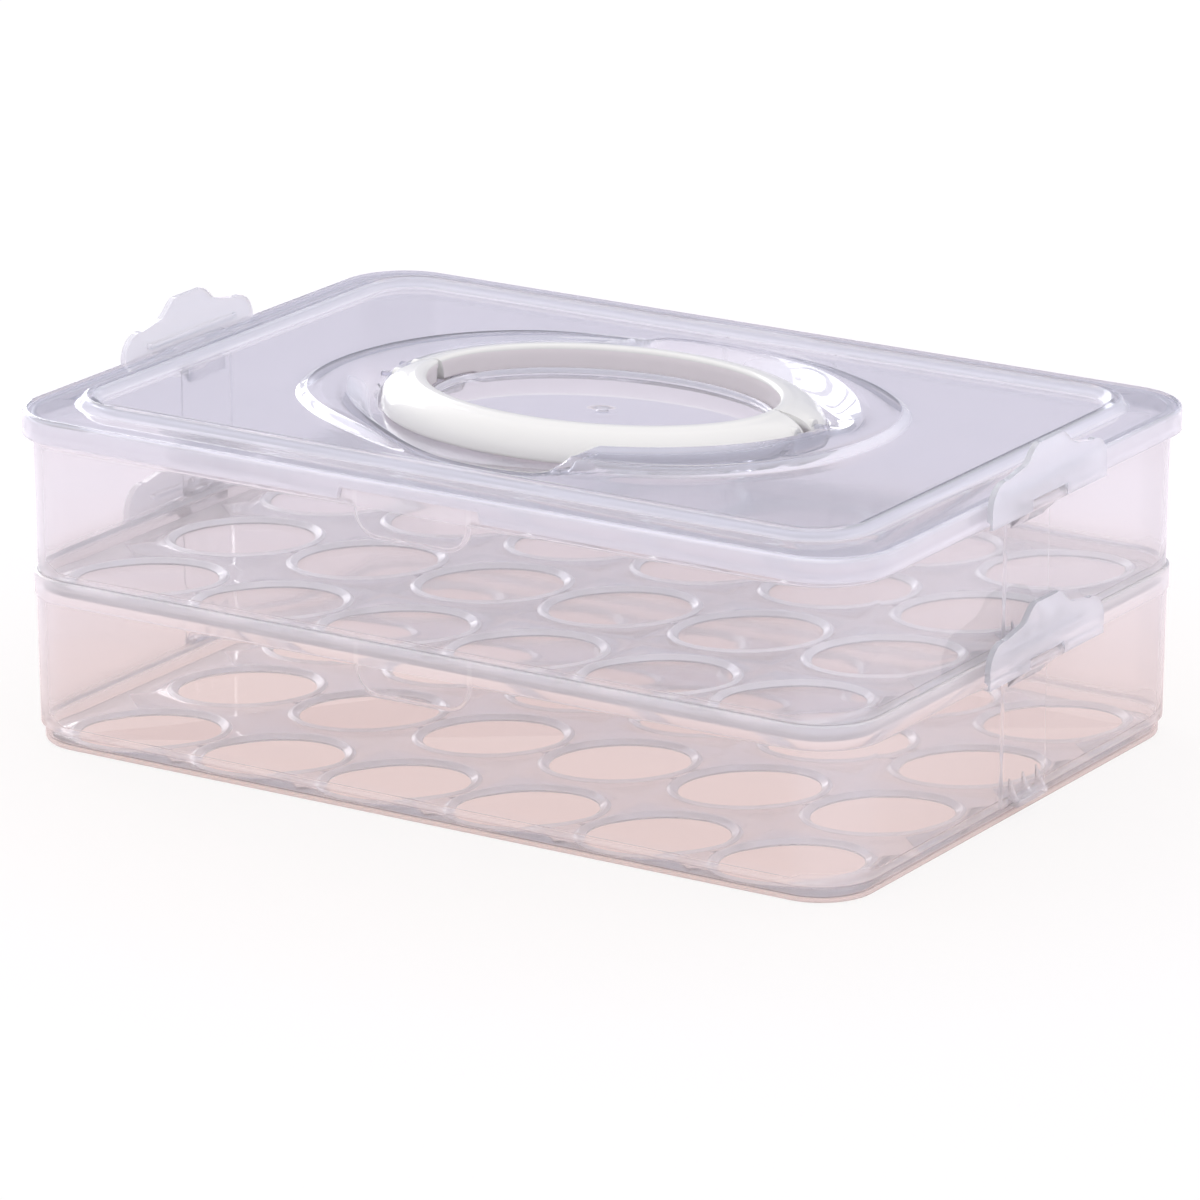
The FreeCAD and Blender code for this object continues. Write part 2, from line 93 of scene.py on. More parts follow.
def awayFromRounded(x, y, halfX, halfY, radius):
    # signed distance to a rounded rectangle, below 0 inside
    qx = np.abs(x) - (halfX - radius)
    qy = np.abs(y) - (halfY - radius)
    return np.hypot(np.maximum(qx, 0), np.maximum(qy, 0)) + np.minimum(np.maximum(qx, qy), 0) - radius

def meshPiece(name, points, faces, body, material, smooth=True):
    # one mesh object from an array of points and a list of face index arrays
    mesh = bpy.data.meshes.new(name)
    counts = np.concatenate([np.full(len(f), f.shape[1]) for f in faces])
    loops = np.concatenate([f.ravel() for f in faces]).astype(np.int32)
    starts = np.concatenate([[0], np.cumsum(counts)[:-1]]).astype(np.int32)
    mesh.vertices.add(len(points))
    mesh.vertices.foreach_set("co", (np.asarray(points) * 0.001).astype(np.float32).ravel())
    mesh.loops.add(len(loops))
    mesh.loops.foreach_set("vertex_index", loops)
    mesh.polygons.add(len(counts))
    mesh.polygons.foreach_set("loop_start", starts)
    mesh.polygons.foreach_set("loop_total", counts.astype(np.int32))
    mesh.polygons.foreach_set("use_smooth", np.full(len(counts), smooth))
    mesh.update(calc_edges=True)
    mesh.validate()
    mesh.materials.append(material)
    piece = bpy.data.objects.new(name, mesh)
    bpy.context.scene.collection.objects.link(piece)
    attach(piece, body)
    return piece

def loopFaces(rows, columns, closeRows=False):
    # quads of a grid whose columns close round; rows may close too
    r = np.arange(rows if closeRows else rows - 1)[:, None]
    k = np.arange(columns)[None, :]
    nextR = (r + 1) % rows
    nextK = (k + 1) % columns
    quads = np.stack([r * columns + k, r * columns + nextK, nextR * columns + nextK, nextR * columns + k], -1)
    return quads.reshape(-1, 4)

def cappedLoops(name, rings, body, finishes, insideRows, milk):
    # rings of points, counterclockwise seen from above, from the underside's middle out and back to the top's middle;
    # the faces of the inside rows have the second finish, and milk is how cloudy the plastic looks at each point
    rows, columns = rings.shape[:2]
    low = np.arange(columns)[None, ::-1]
    high = (np.arange(columns) + (rows - 1) * columns)[None, :]
    piece = meshPiece(name, rings.reshape(-1, 3), [loopFaces(rows, columns), low, high], body, finishes[0])
    piece.data.materials.append(finishes[1])
    inside = np.zeros((rows - 1, columns), np.int32)
    inside[insideRows[0]:insideRows[1]] = 1
    ends = [inside[0, 0], inside[-1, 0]]
    piece.data.polygons.foreach_set("material_index", np.concatenate([inside.ravel(), ends]).astype(np.int32))
    piece.data.attributes.new("milk", "FLOAT", "POINT").data.foreach_set("value", milk.astype(np.float32).ravel())
    return piece

def spread(values):
    # each value shared with its neighbours along the rows and across them
    wide = (values + np.roll(values, 1, 1) + np.roll(values, -1, 1)) / 3
    padded = np.concatenate([wide[:1], wide, wide[-1:]])
    return (padded[:-2] + padded[1:-1] + padded[2:]) / 3

def quarterAngles(points):
    # ray angles for a full turn from points of the first quarter, mirrored so that all four quarters match
    first = np.arctan2(points[:, 1], points[:, 0])
    first = first[(first > 1e-6) & (first < math.pi / 2 - 1e-6)]
    first = np.sort(first)
    second = math.pi - first[::-1]
    half = np.concatenate([[0.0], first, [math.pi / 2], second])
    return np.concatenate([half, half + math.pi])

def roundedQuarter(halfX, halfY, radius, endSteps, cornerCount, sideSteps):
    # points from the right side's middle round the corner to the back side's middle
    end = np.array([(halfX, y) for y in endSteps if y < halfY - radius])
    turn = np.linspace(0, math.pi / 2, cornerCount)
    corner = np.stack([halfX - radius + radius * np.cos(turn), halfY - radius + radius * np.sin(turn)], -1)
    side = np.array([(x, halfY) for x in sideSteps if x < halfX - radius])
    return np.concatenate([end, corner, side])

# tint and cloud are the two colours that drift into each other; clear is the share that lets light through,
# and thick is what is left of it where the plastic is thick or seen from its edge
plasticLooks = {
    # the faint pink in the bins' tints is painted warm light from the floor below
    "clearWall": {"tint": (0.998, 0.985, 0.998), "cloud": (0.99, 0.975, 0.99), "clear": 0.86, "thick": 0.45, "rough": 0.04, "coat": 1.0, "sheen": 0.4},
    "innerWall": {"tint": (0.995, 0.985, 0.995), "cloud": (0.99, 0.98, 0.99), "clear": 1.0, "thick": 0.90, "rough": 0.06, "coat": 0.0, "sheen": 0.0},
    # the lid's lavender-grey tint is partly the plastic's own colour and partly painted reflection of the dim lavender
    # room
    "clearLid": {"tint": (0.82, 0.825, 0.91), "cloud": (0.805, 0.81, 0.90), "clear": 0.86, "thick": 0.30, "rough": 0.04, "coat": 1.0, "sheen": 0.10},
    # a paler copy of the lid's plastic for the upright skirt: painted light, making the skirt lighter than the lid's
    # top
    "paleSkirt": {"tint": (0.95, 0.95, 0.99), "cloud": (0.94, 0.94, 0.985), "clear": 0.80, "thick": 0.45, "rough": 0.04, "coat": 1.0, "sheen": 0.4},
    "innerLid": {"tint": (0.985, 0.985, 0.995), "cloud": (0.975, 0.975, 0.99), "clear": 1.0, "thick": 0.90, "rough": 0.10, "coat": 0.0, "sheen": 0.0},
    "clearTray": {"tint": (0.995, 0.99, 0.998), "cloud": (0.985, 0.98, 0.995), "clear": 0.93, "thick": 0.4, "rough": 0.06, "coat": 1.0, "sheen": 0.5},
    "milkyLatch": {"tint": (0.955, 0.965, 0.99), "cloud": (0.94, 0.95, 0.985), "clear": 0.68, "thick": 0.5, "rough": 0.10, "coat": 1.0, "sheen": 0.10},
    "creamRing": {"tint": (0.765, 0.76, 0.735), "cloud": (0.745, 0.74, 0.715), "clear": 0.0, "thick": 0.0, "rough": 0.30, "coat": 0.6, "sheen": 0.0},
    # a darker mauve copy of the cream ring plastic: painted shade for the ring's inner wall, which is out of the light
    "shadedRing": {"tint": (0.82, 0.77, 0.78), "cloud": (0.80, 0.75, 0.76), "clear": 0.0, "thick": 0.0, "rough": 0.35, "coat": 0.2, "sheen": 0.0},
}

def plastic(name, s):
    # moulded plastic: a faint cloudiness, a slightly uneven gloss and the soft ripple of a moulded face;
    # a low refraction keeps thin walls straight to look through, and the coat gives the gloss
    material = bpy.data.materials.new(name)
    material.use_nodes = True
    nodes = material.node_tree.nodes
    links = material.node_tree.links
    shader = nodes["Principled BSDF"]
    place = nodes.new("ShaderNodeTexCoord")
    cloud = nodes.new("ShaderNodeTexNoise")
    cloud.inputs["Scale"].default_value = 22.0
    cloud.inputs["Detail"].default_value = 4.0
    mix = nodes.new("ShaderNodeMix")
    mix.data_type = "RGBA"
    mix.inputs[6].default_value = (*s["tint"], 1.0)
    mix.inputs[7].default_value = (*s["cloud"], 1.0)
    gloss = nodes.new("ShaderNodeMapRange")
    gloss.inputs["To Min"].default_value = s["rough"] * 0.8
    gloss.inputs["To Max"].default_value = s["rough"] * 1.25
    ripple = nodes.new("ShaderNodeTexNoise")
    ripple.inputs["Scale"].default_value = 60.0
    ripple.inputs["Detail"].default_value = 2.0
    bump = nodes.new("ShaderNodeBump")
    bump.inputs["Strength"].default_value = 0.03
    bump.inputs["Distance"].default_value = 0.002
    links.new(place.outputs["Object"], cloud.inputs["Vector"])
    links.new(place.outputs["Object"], ripple.inputs["Vector"])
    links.new(cloud.outputs["Fac"], mix.inputs["Factor"])
    links.new(mix.outputs[2], shader.inputs["Base Color"])
    links.new(cloud.outputs["Fac"], gloss.inputs["Value"])
    links.new(gloss.outputs["Result"], shader.inputs["Roughness"])
    links.new(ripple.outputs["Fac"], bump.inputs["Height"])
    links.new(bump.outputs["Normal"], shader.inputs["Normal"])
    if s["clear"] > 0:
        milk = nodes.new("ShaderNodeAttribute")
        milk.attribute_name = "milk"
        share = nodes.new("ShaderNodeMapRange")
        share.inputs["To Min"].default_value = s["clear"]
        share.inputs["To Max"].default_value = s["thick"]
        links.new(milk.outputs["Fac"], share.inputs["Value"])
        links.new(share.outputs["Result"], shader.inputs["Transmission Weight"])
    shader.inputs["IOR"].default_value = 1.12 if s["clear"] > 0 else 1.49
    shader.inputs["Coat Weight"].default_value = s["coat"]
    shader.inputs["Coat Roughness"].default_value = 0.025
    shader.inputs["Coat IOR"].default_value = 1.5
    shader.inputs["Sheen Weight"].default_value = s["sheen"]
    shader.inputs["Sheen Roughness"].default_value = 0.5
    return material

materials = {name: plastic(name, s) for name, s in plasticLooks.items()}
print("materials made:", len(materials))

binShape = {
    "halfX": 165.2, "halfY": 115.8, "corner": 20.5,
    "height": 61.55, "nest": 6.3, "floor": 1.4, "wall": 1.7,
    "shoulder": 1.5, "rimOut": 2.15, "rimIn": 0.45, "bandOut": 2.75, "band": 8.0,
    "padHalf": 22.5, "padTall": 18.0, "padCorner": 9.0, "stripHalf": 15.0, "stripOut": 0.35,
    "pitch": 55.3,
}

def binRings(s):
    # a wall profile of offset and height pairs carried along the rounded footprint, with the thumb pads and end strips raised on it
    turn = np.linspace(0, math.pi / 2, 7)
    foot = [(-9.0, 0.0), (-2.4, 0.0)] + [(-1.6 + 1.6 * math.sin(t), 1.6 - 1.6 * math.cos(t)) for t in turn]
    step = [(0.0, 4.2), (0.0, s["nest"] - 0.7), (0.2, s["nest"] - 0.25), (0.7, s["nest"]), (s["shoulder"] - 0.5, s["nest"]), (s["shoulder"] - 0.12, s["nest"] + 0.15), (s["shoulder"], s["nest"] + 0.6)]
    lean = s["rimOut"] - s["shoulder"]
    tall = s["height"] - s["nest"]
    padLow = s["height"] - s["padTall"]
    bandLow = s["height"] - s["band"]
    levels = np.concatenate([np.linspace(s["nest"] + 1.6, padLow - 1.2, 9), np.arange(padLow - 0.8, padLow + 9.6, 0.6)])
    levels = levels[levels < bandLow - 0.4]
    wall = [(s["shoulder"] + lean * (z - s["nest"]) / tall, z) for z in levels]
    band = [(s["rimOut"] - 0.05, bandLow - 0.35), (s["rimOut"] + 0.15, bandLow - 0.1), (s["bandOut"] - 0.15, bandLow + 0.1), (s["bandOut"], bandLow + 0.4), (s["bandOut"], s["height"] - 4.0), (s["bandOut"], s["height"] - 0.55)]
    rim = [(s["bandOut"] - 0.15, s["height"] - 0.15), (s["bandOut"] - 0.55, s["height"]), (s["rimIn"] + 0.5, s["height"]), (s["rimIn"] + 0.13, s["height"] - 0.13), (s["rimIn"], s["height"] - 0.5)]
    innerFoot = s["shoulder"] - s["wall"]
    stepZ = s["nest"] + s["wall"]
    inner = [(s["rimIn"] + (innerFoot - s["rimIn"]) * t, s["height"] - 0.5 + (stepZ + 0.5 - s["height"] + 0.5) * t) for t in np.linspace(0.1, 1.0, 8)]
    low = [(innerFoot - 0.15, stepZ + 0.13), (innerFoot - 0.5, stepZ), (-s["wall"] + 0.5, stepZ), (-s["wall"] + 0.1, stepZ - 0.2), (-s["wall"], stepZ - 0.7), (-s["wall"], s["floor"] + 1.6)]
    heel = [(-s["wall"] - 1.6 + 1.6 * math.cos(t), s["floor"] + 1.6 - 1.6 * math.sin(t)) for t in turn[1:]]
    profile = np.array(foot + step + wall + band + rim + inner + low + heel + [(-9.0, s["floor"])])
    outerCount = len(foot) + len(step) + len(wall) + len(band)
    isOuter = (np.arange(len(profile)) < outerCount) & (profile[:, 1] > s["nest"] + 0.3)
    endSteps = np.concatenate([np.arange(0, 13.5, 3.0), np.arange(14.0, 16.2, 0.4), np.arange(18, 95, 8.0)])
    sideSteps = np.concatenate([np.arange(0, 12, 2.0), np.arange(12.0, 24.6, 0.6), np.arange(26, 145, 9.0)])
    angles = quarterAngles(roundedQuarter(s["halfX"], s["halfY"], s["corner"], endSteps, 20, sideSteps))
    offset = profile[:, 0][:, None] + 0 * angles[None, :]
    z = profile[:, 1][:, None] + 0 * offset
    reach = reachRounded(angles[None, :], s["halfX"] + offset, s["halfY"] + offset, s["corner"] + offset)
    x = reach * np.cos(angles)
    y = reach * np.sin(angles)
    onLong = np.abs(y) > s["halfY"] - 8
    onEnd = np.abs(x) > s["halfX"] - 8
    qx = np.abs(x) - (s["padHalf"] - s["padCorner"])
    qz = (padLow + s["padCorner"]) - z
    away = np.hypot(np.maximum(qx, 0), np.maximum(qz, 0)) + np.minimum(np.maximum(qx, qz), 0) - s["padCorner"]
    pad = ease(0.5 - away / 1.1) * onLong * isOuter[:, None]
    strip = ease(0.5 - (np.abs(y) - s["stripHalf"]) / 0.8) * onEnd * isOuter[:, None]
    lift = np.maximum(pad * (s["bandOut"] - offset), 0) + np.maximum(strip * (s["rimOut"] + s["stripOut"] - offset), 0)
    offset = offset + lift
    reach = reachRounded(angles[None, :], s["halfX"] + offset, s["halfY"] + offset, s["corner"] + offset)
    # milkier at the foot's corner, the nesting step, the band and rim, the edges of what is raised and the upright
    # corners; on the rim and the upright corners the extra milk is partly the plastic's cloudiness and partly painted
    # highlight
    milk = np.zeros(offset.shape)
    milk[4:len(foot)] = 0.35
    milk[len(foot) + 2:len(foot) + len(step)] = 0.9
    milk[outerCount - len(band):outerCount + len(rim)] = 0.35
    milk[outerCount - 1:outerCount + len(rim) - 1] = 0.8
    raised = np.maximum(pad, strip)
    milk = np.maximum(milk, 4 * raised * (1 - raised))
    # the milk on the upright corners paints their pale highlight bands
    corner = np.minimum(np.abs(x) - (s["halfX"] - s["corner"]), np.abs(y) - (s["halfY"] - s["corner"]))
    milk = np.maximum(milk, 0.2 * ease(corner / 6.0) * isOuter[:, None])
    return np.stack([reach * np.cos(angles), reach * np.sin(angles), z], -1), (outerCount + len(rim) - 1, len(profile)), spread(milk)

rings, insideRows, milk = binRings(binShape)
for tier, lift in (("lower", 0.0), ("upper", binShape["pitch"])):
    finishes = [materials["clearWall"], materials["innerWall"]]
    shell = cappedLoops(tier + "BinShell", rings + np.array([0, 0, lift]), tier + "_bin", finishes, insideRows, milk)
    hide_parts(tier + "_bin")
print("bin shells made:", rings.shape)

def prism(outline, low, high, along):
    # an outline carried straight along x or y; the outline is (y, z) or (x, z), counterclockwise
    count = len(outline)
    flat = np.zeros((2, count, 3))
    flat[:, :, 2] = outline[:, 1]
    if along == "x":
        flat[:, :, 1] = outline[:, 0]
        flat[0, :, 0] = low
        flat[1, :, 0] = high
    else:
        flat[:, :, 0] = outline[:, 0]
        flat[0, :, 1] = low
        flat[1, :, 1] = high
    i = np.arange(count)
    j = (i + 1) % count
    sides = np.stack([i, j, j + count, i + count], -1)
    first = i[None, ::-1]
    last = (i + count)[None, :]
    if along == "y":
        sides = sides[:, ::-1]
        first = first[:, ::-1]
        last = last[:, ::-1]
    return flat.reshape(-1, 3), [sides, first, last]

def turnedRound(points):
    # the same shape turned half round the upright middle line
    return points * np.array([-1.0, -1.0, 1.0])

def shellsPiece(name, shells, body, material, bevel):
    # several closed shells in one piece, with their edges softened
    allPoints = []
    allFaces = []
    start = 0
    for points, faces in shells:
        allPoints.append(points)
        allFaces += [f + start for f in faces]
        start += len(points)
    piece = meshPiece(name, np.concatenate(allPoints), allFaces, body, material)
    if bevel > 0:
        soften = piece.modifiers.new("softEdges", "BEVEL")
        soften.width = bevel * 0.001
        soften.segments = 3
        soften.limit_method = "ANGLE"
        soften.angle_limit = math.radians(40)
        soften.harden_normals = False
    return piece

bracketShape = {
    "rootX": 166.9, "pinX": 173.6, "pinZ": 57.3, "nose": 2.4, "gusset": 6.6,
    "half": 11.4, "pinHalf": 15.8, "pinRadius": 1.38,
    "ledgeX": 171.35, "ledgeLow": 6.35, "ledgeHigh": 8.5, "ledgeHalf": 10.0, "toothTall": 7.5, "tooth": 1.6,
}

def roundBar(radius, x, z, low, high, count=20):
    turn = np.linspace(0, 2 * math.pi, count, endpoint=False)
    return prism(np.stack([x + radius * np.cos(turn), z + radius * np.sin(turn)], -1), low, high, "y")

def bracketShells(s):
    turn = np.linspace(-math.pi / 2, math.pi / 2, 10)
    nose = np.stack([s["pinX"] + s["nose"] * np.cos(turn), s["pinZ"] + s["nose"] * np.sin(turn)], -1)
    root = np.array([(s["rootX"], s["pinZ"] + s["nose"]), (s["rootX"], s["pinZ"] - s["nose"] - s["gusset"])])
    return [
        prism(np.concatenate([nose, root]), -s["half"], s["half"], "y"),
        roundBar(s["pinRadius"], s["pinX"], s["pinZ"], -s["pinHalf"], s["pinHalf"]),
    ]

def catchShells(s):
    low, high = s["ledgeLow"], s["ledgeHigh"]
    ledge = np.array([(s["rootX"], low), (s["ledgeX"], low), (s["ledgeX"], high), (s["rootX"], high)])
    tooth = np.array([(s["rootX"], high - 0.3), (s["ledgeX"] - 0.3, high - 0.3), (s["rootX"], high + s["toothTall"])])
    shells = [prism(ledge, -s["ledgeHalf"], s["ledgeHalf"], "y")]
    for middle in (-s["ledgeHalf"] + s["tooth"] / 2, 0.0, s["ledgeHalf"] - s["tooth"] / 2):
        shells.append(prism(tooth, middle - s["tooth"] / 2, middle + s["tooth"] / 2, "y"))
    return shells

for tier, lift in (("lower", 0.0), ("upper", binShape["pitch"])):
    for side in ("Right", "Left"):
        for part, shells in (("Bracket", bracketShells(bracketShape)), ("Catch", catchShells(bracketShape))):
            moved = []
            for points, faces in shells:
                points = points + np.array([0, 0, lift])
                moved.append((points if side == "Right" else turnedRound(points), faces))
            shellsPiece(tier + side + part, moved, tier + "_bin", materials["clearWall"], 0.3)
print("brackets and catches made")

trayShape = {
    "halfX": 162.9, "halfY": 113.5, "corner": 18.2,
    "low": 1.42, "sheet": 2.6, "bead": 3.5,
    "pitchX": 52.0, "pitchY": 58.7, "holeLong": 26.0, "holeWide": 20.75, "holeTurn": 47.0,
    "perSide": 22,
}

def traySurface(s):
    # each egg's cell is a fan of rays from its middle, from the oval hole's rim out to the cell's edge;
    # the rim is a rounded bead, and neighbouring cells share the points on their common edge
    linesX = np.array([-s["halfX"], -2 * s["pitchX"], -s["pitchX"], 0, s["pitchX"], 2 * s["pitchX"], s["halfX"]])
    linesY = np.array([-s["halfY"], -s["pitchY"], 0, s["pitchY"], s["halfY"]])
    t = np.linspace(0, 1, s["perSide"], endpoint=False)
    zero = np.zeros_like(t)
    side = np.concatenate([np.stack([t, zero], -1), np.stack([zero + 1, t], -1), np.stack([1 - t, zero + 1], -1), np.stack([zero, 1 - t], -1)])
    # an egg rests on the slope inside the bead: the hole's edge, the slope, the rounded top and the fall back to the sheet
    bead = [(-1.3, s["low"] + 0.2), (-1.25, s["low"] + 0.5), (-1.0, s["low"] + 0.72), (0.3, s["low"] + 1.5), (0.7, s["bead"] - 0.25), (1.0, s["bead"] - 0.06), (1.3, s["bead"]), (1.6, s["bead"] - 0.08), (1.95, s["bead"] - 0.4), (2.3, s["sheet"] + 0.15), (2.8, s["sheet"])]
    points = []
    for col in range(6):
        for row in range(4):
            edge = np.stack([linesX[col] + side[:, 0] * (linesX[col + 1] - linesX[col]), linesY[row] + side[:, 1] * (linesY[row + 1] - linesY[row])], -1)
            cornerX = np.maximum(np.abs(edge[:, 0]) - (s["halfX"] - s["corner"]), 0)
            cornerY = np.maximum(np.abs(edge[:, 1]) - (s["halfY"] - s["corner"]), 0)
            reach = np.maximum(np.hypot(cornerX, cornerY), 1e-6)
            square = np.maximum(cornerX, cornerY)
            pull = np.where((cornerX > 0) & (cornerY > 0), square / reach, 1.0)
            edge[:, 0] = np.sign(edge[:, 0]) * (np.abs(edge[:, 0]) - cornerX * (1 - pull))
            edge[:, 1] = np.sign(edge[:, 1]) * (np.abs(edge[:, 1]) - cornerY * (1 - pull))
            middle = np.array([(col - 2.5) * s["pitchX"], (row - 1.5) * s["pitchY"]])
            away = edge - middle
            angle = np.arctan2(away[:, 1], away[:, 0])
            hole = reachOval(angle, s["holeLong"], s["holeWide"], s["holeTurn"])
            far = np.hypot(away[:, 0], away[:, 1])
            rings = []
            low = [(far, s["low"]), (hole + 0.4, s["low"]), (hole - 1.1, s["low"] + 0.02)]
            for reachNow, z in low:
                rings.append(np.stack([middle[0] + reachNow * np.cos(angle), middle[1] + reachNow * np.sin(angle), z + 0 * angle], -1))
            for out, z in bead:
                reachNow = hole + out
                rings.append(np.stack([middle[0] + reachNow * np.cos(angle), middle[1] + reachNow * np.sin(angle), z + 0 * angle], -1))
            rings.append(np.stack([edge[:, 0], edge[:, 1], s["sheet"] + 0 * angle], -1))
            points.append(np.stack(rings))
    return np.stack(points)

def trayPiece(name, s, lift, body):
    cells = traySurface(s)
    count, rows, columns = cells.shape[:3]
    quads = loopFaces(rows, columns)
    faces = (quads[None, :, :] + (np.arange(count) * rows * columns)[:, None, None]).reshape(-1, 4)
    piece = meshPiece(name, cells.reshape(-1, 3) + np.array([0, 0, lift]), [faces], body, materials["clearTray"])
    milk = np.zeros((count, rows, columns), np.float32)
    milk[:, 5:rows - 2] = 1.0                        # the slope and the bead are milkier than the flat sheet
    piece.data.attributes.new("milk", "FLOAT", "POINT").data.foreach_set("value", milk.ravel())
    work = bmesh.new()
    work.from_mesh(piece.data)
    bmesh.ops.remove_doubles(work, verts=work.verts, dist=1e-6)
    rim = [e for e in work.edges if len(e.link_faces) == 1]
    # the outer edge: bottom and top boundary loops are joined by a strip
    bmesh.ops.bridge_loops(work, edges=rim)
    bmesh.ops.recalc_face_normals(work, faces=work.faces)
    for face in work.faces:
        face.smooth = True
    work.to_mesh(piece.data)
    work.free()
    return piece

for tier, lift in (("lower", 0.0), ("upper", binShape["pitch"])):
    tray = trayPiece(tier + "Tray", trayShape, lift, tier + "_egg_tray")
    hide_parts(tier + "_egg_tray")
print("trays made")

lidShape = {
    "halfX": 171.4, "halfY": 120.5, "corner": 25.2, "skirt": 1.65, "skirtLow": 110.6,
    "under": 116.95, "flange": 119.1, "panel": 119.4, "edge": 1.8,
    "ridgeInset": 18.5, "ridgeHalf": 4.5, "ridgeTop": 122.65, "ridgeCorner": 19.0,
    "sheet": 1.8, "turn": 3.0,
    "ovalX": 119.0, "ovalY": 95.0, "seatX": 81.7, "seatY": 62.7, "ringX": 64.4, "ringY": 45.4, "cupX": 62.6, "cupY": 43.6,
    "channel": 115.05, "seat": 118.45, "cup": 117.0, "floor": 114.3, "pocket": 113.6,
    "armEnd": 28.0, "armSlant": 0.29, "armEdge": 3.0, "notchHalf": 28.0, "notchTall": 4.0, "cutHalf": 17.0,
}

# the swirl's lines by ray angle: the crest of the raised arm and the run of its outer slope, the crease inside it
# that deepens into the finger well, the foot of the well's wall, and the heights on both sides of the crease
crestAngle = [-110, -81, -62, -50, -38, -27, -16, -6, 4, 12, 22, 32, 40, 48, 56, 63, 72, 80, 130]
crestReach = [70, 71, 79, 87.5, 94, 98.6, 101.8, 103.6, 105, 105.2, 103.6, 98.4, 94.2, 90.6, 88.6, 88.2, 89.4, 90.2, 91]
slopeAngle = [-110, -62, -27, 0, 22, 34, 47, 60, 80, 130]
slopeRun = [11, 10, 6.4, 4.6, 3.6, 3.6, 3.6, 3.2, 2.6, 2.6]
wellAngle = [-110, -75, -64, -50, -35, -25, -13, 0, 8, 14, 20, 30, 40, 50, 60, 72, 84, 96, 108, 130]
wellTopReach = [78, 78, 76.5, 82, 88, 92, 95, 96.4, 94.6, 91.8, 89.4, 87, 84.8, 83.6, 83.4, 84.6, 87, 89, 90, 90]
wellFootReach = [67, 67, 68, 70.5, 75, 79, 83, 86, 85.6, 83.8, 81.8, 79, 76.6, 75.6, 75.6, 74, 71, 68, 67, 67]
wellFloor = [123.1, 123.1, 123.1, 123.1, 123, 122.8, 122.3, 121.4, 119.6, 117.4, 115.8, 114.6, 114.3, 114.3, 114.3, 114.3, 114.3, 114.3, 114.3, 114.3]
topAngle = [-110, 48, 56, 62, 68, 75, 84, 130]
topHeight = [121.8, 121.8, 121.5, 120.9, 120.1, 119.6, 119.4, 119.4]

def swirlLines(angle):
    # the lines of one arm at some ray angles in degrees
    return (softCurve(angle, crestAngle, crestReach, 5), softCurve(angle, slopeAngle, slopeRun, 5),
            softCurve(angle, wellAngle, wellTopReach, 5), softCurve(angle, wellAngle, wellFootReach, 5),
            softCurve(angle, wellAngle, wellFloor, 4), softCurve(angle, topAngle, topHeight, 5))

def armAndWell(u, v, s):
    # height of one arm and the well that follows it, from the ray's angle and reach: a flat top out to the crest,
    # a plane slope down outside it, and inside the crease a raised band that sinks into the well
    angle = np.degrees(np.arctan2(v, u))
    angle = np.where(angle < -130, angle + 360, angle)
    reach = np.hypot(u, v)
    crest, run, wellTop, wellFoot, floor, top = swirlLines(angle)
    out = np.clip((reach - crest) / run, 0, 1)
    outer = s["panel"] + (top - s["panel"]) * (1 - 0.8 * out - 0.2 * ease(out))
    rise = np.clip((reach - wellFoot) / np.maximum(wellTop - wellFoot, 1.0), 0, 1)
    inner = floor + (top - floor) * (0.7 * rise + 0.3 * ease(rise))
    lip = 0.22 * np.exp(-((reach - crest) / 1.3)**2) * ease((top - s["panel"]) / 2.0)
    edge = 0.18 * np.exp(-((reach - wellTop) / 1.2)**2) * ease((top - floor) / 3.0) * ease((top - s["panel"]) / 2.0)
    return np.where(reach < wellTop, inner, outer) + lip + edge

def armShare(u, v, s):
    # 1 where the first arm holds, 0 where the second does: they change over along a slanting line at each arm's start
    lean = np.abs(v) - 66.0
    return ease(0.5 + np.where(v < 0, u - s["armEnd"] + s["armSlant"] * lean, u + s["armEnd"] - s["armSlant"] * lean) / s["armEdge"])

def lidTop(x, y, s):
    # the lid's upper surface over its whole plan
    t = math.radians(s["turn"])
    u = x * math.cos(t) + y * math.sin(t)
    v = y * math.cos(t) - x * math.sin(t)
    ridgeAway = awayFromRounded(x, y, s["halfX"] - s["ridgeInset"], s["halfY"] - s["ridgeInset"], s["ridgeCorner"])
    base = s["panel"] + (s["flange"] - s["panel"]) * ease(0.5 + ridgeAway / (2 * s["ridgeHalf"]))
    bump = ease((1 - np.abs(ridgeAway) / s["ridgeHalf"]) / 0.74)
    ridge = base + (s["ridgeTop"] - base) * bump
    swirl = armAndWell(-u, -v, s)
    swirl = swirl + (armAndWell(u, v, s) - swirl) * armShare(u, v, s)
    angle = np.arctan2(v, u)
    reach = np.hypot(u, v)
    inSwirl = reach < reachOval(angle, s["ovalX"], s["ovalY"])
    z = np.where(inSwirl, swirl, ridge)
    seatAway = reach - reachOval(angle, s["seatX"], s["seatY"])
    depth = s["seat"] + (s["channel"] - s["seat"]) * ease((np.abs(v) - 13.0) / 8.0)
    pocket = ease(0.5 + (10.6 - np.abs(v)) / 0.9) * ease(0.5 - (seatAway + 0.35) / 0.5) * (np.abs(u) > 40)
    depth = depth + (s["pocket"] - depth) * pocket
    depth = np.minimum(depth, np.where(seatAway > -8, np.maximum(swirl, s["floor"]), depth))
    z = depth + (z - depth) * ease(0.5 + seatAway / 0.6)
    ringAway = reach - reachOval(angle, s["ringX"], s["ringY"])
    z = np.where(ringAway < 3, s["seat"] + (z - s["seat"]) * ease(0.5 + ringAway / 0.6), z)
    cupAway = reach - reachOval(angle, s["cupX"], s["cupY"])
    return np.where(cupAway < 1.0, s["cup"] + (z - s["cup"]) * ease(0.5 + cupAway / 0.7), z)

